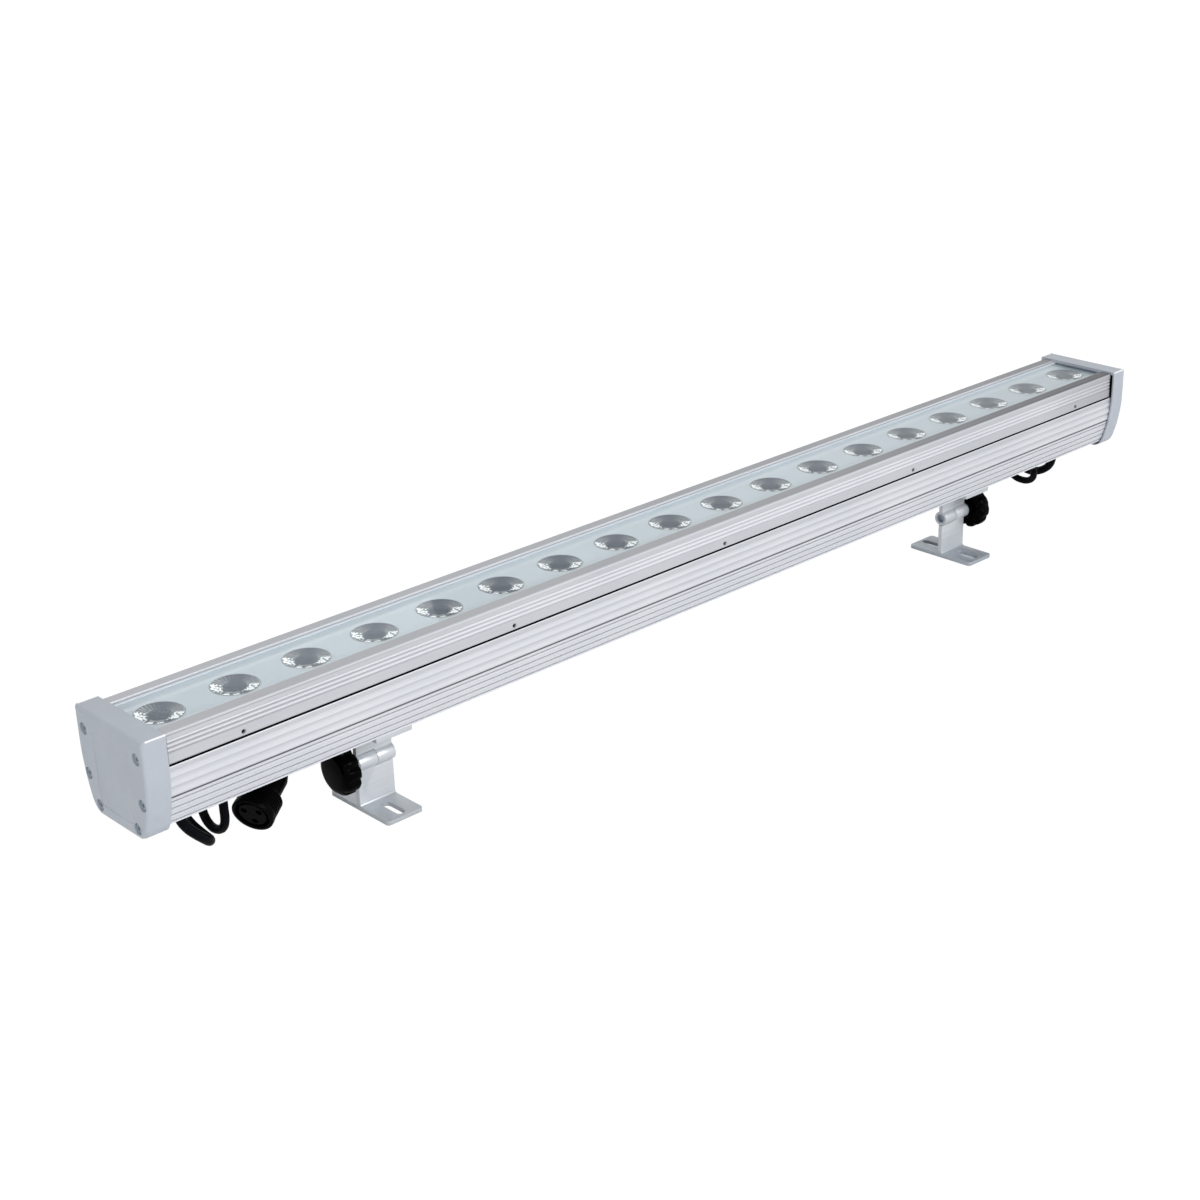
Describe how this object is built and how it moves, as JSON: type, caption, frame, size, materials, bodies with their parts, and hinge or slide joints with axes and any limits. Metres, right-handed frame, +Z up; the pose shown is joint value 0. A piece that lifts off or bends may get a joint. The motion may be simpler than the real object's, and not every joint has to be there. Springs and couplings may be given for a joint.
{
  "type": "led wall washer light bar",
  "caption": "Finned aluminium light bar with round lenses under glass, cast end caps, two tilting slotted feet with clamp knobs, and short black leads.",
  "frame": {"origin": "on the floor under the middle of the bar", "axes": "+X along the bar towards the end with the plugs, -Y the front, +Z up, where the light goes"},
  "size_m": [1, 0.0854, 0.1282],
  "materials": {
    "anodised": "satin",
    "anodised_rail": "satin",
    "seal_rubber": "matt",
    "screw_steel": "satin",
    "glass": "clear",
    "silicone": "matt",
    "tray_plastic": "matt",
    "board_green": "satin",
    "black_plastic": "matt",
    "component": "gloss",
    "lens_clear": "clear",
    "board_white": "satin",
    "led_yellow": "gloss",
    "cap_paint": "satin",
    "bracket_aluminium": "satin",
    "brass_insert": "satin",
    "knob_black": "satin",
    "cord_rubber": "matt",
    "contact_brass": "polished"
  },
  "bodies": {
    "lamp": {"heatsink": "anodised", "front_rail": "anodised_rail", "back_rail": "anodised_rail", "front_rail_seal": "seal_rubber", "back_rail_seal": "seal_rubber", "front_rail_screws": "screw_steel", "back_rail_screws": "screw_steel", "glass_pane": "glass", "glass_gasket": "silicone", "lens_tray": "tray_plastic", "left_lenses": "lens_clear", "middle_lenses": "lens_clear", "right_lenses": "lens_clear", "left_led_board": "board_white", "middle_led_board": "board_white", "right_led_board": "board_white", "left_led_chips": "led_yellow", "middle_led_chips": "led_yellow", "right_led_chips": "led_yellow", "driver_board": "board_green", "driver_tray": "black_plastic", "driver_transformer": "component", "driver_capacitors": "component", "left_end_cap": "cap_paint", "right_end_cap": "cap_paint", "left_cap_seal": "seal_rubber", "right_cap_seal": "seal_rubber", "left_cap_screws": "screw_steel", "right_cap_screws": "screw_steel", "left_upper_bracket": "bracket_aluminium", "right_upper_bracket": "bracket_aluminium", "bracket_screws": "screw_steel", "left_hinge_insert": "brass_insert", "right_hinge_insert": "brass_insert", "cord_glands": "black_plastic", "left_power_cord": "cord_rubber", "left_signal_cord": "cord_rubber", "right_signal_cord": "cord_rubber", "right_power_cord": "cord_rubber", "left_signal_socket": "black_plastic", "left_signal_contacts": "contact_brass", "left_power_socket": "black_plastic", "left_power_contacts": "contact_brass", "right_signal_plug": "black_plastic", "right_signal_pins": "contact_brass", "right_power_plug": "black_plastic", "right_power_pins": "contact_brass", "cord_ties": "black_plastic"},
    "left_foot": {"left_foot": "bracket_aluminium"},
    "right_foot": {"right_foot": "bracket_aluminium"},
    "left_washer": {"left_washer": "screw_steel"},
    "right_washer": {"right_washer": "screw_steel"},
    "left_knob": {"left_knob": "knob_black", "left_knob_stud": "screw_steel"},
    "right_knob": {"right_knob": "knob_black", "right_knob_stud": "screw_steel"},
    "right_signal_nut": {"right_signal_nut": "black_plastic"},
    "right_power_nut": {"right_power_nut": "black_plastic"}
  },
  "joints": [
    {"name": "left_foot_tilt", "type": "hinge", "parent": "lamp", "child": "left_foot", "pos_m": [-0.3095, 0, 0.035], "axis": [1, 0, 0], "range_deg": [-90, 90]},
    {"name": "right_foot_tilt", "type": "hinge", "parent": "lamp", "child": "right_foot", "pos_m": [0.3095, 0, 0.035], "axis": [1, 0, 0], "range_deg": [-90, 90]},
    {"name": "left_washer_slide", "type": "slide", "parent": "lamp", "child": "left_washer", "axis": [-1, 0, 0], "range_m": [0, 0.003]},
    {"name": "right_washer_slide", "type": "slide", "parent": "lamp", "child": "right_washer", "axis": [1, 0, 0], "range_m": [0, 0.003]},
    {"name": "left_knob_turn", "type": "hinge", "parent": "left_washer", "child": "left_knob", "pos_m": [-0.3095, 0, 0.035], "axis": [-1, 0, 0], "range_deg": [0, 1080]},
    {"name": "right_knob_turn", "type": "hinge", "parent": "right_washer", "child": "right_knob", "pos_m": [0.3095, 0, 0.035], "axis": [1, 0, 0], "range_deg": [0, 1080]},
    {"name": "right_signal_nut_turn", "type": "hinge", "parent": "lamp", "child": "right_signal_nut", "pos_m": [0.398, 0.019, 0.052], "axis": [-1, 0, 0], "continuous": true},
    {"name": "right_power_nut_turn", "type": "hinge", "parent": "lamp", "child": "right_power_nut", "pos_m": [0.398, 0.038, 0.05], "axis": [-1, 0, 0], "continuous": true}
  ],
  "couplings": [
    {"joint": "left_knob_turn", "follows": "left_washer_slide", "rad_per_m": 6283.2},
    {"joint": "right_knob_turn", "follows": "right_washer_slide", "rad_per_m": 6283.2}
  ]
}
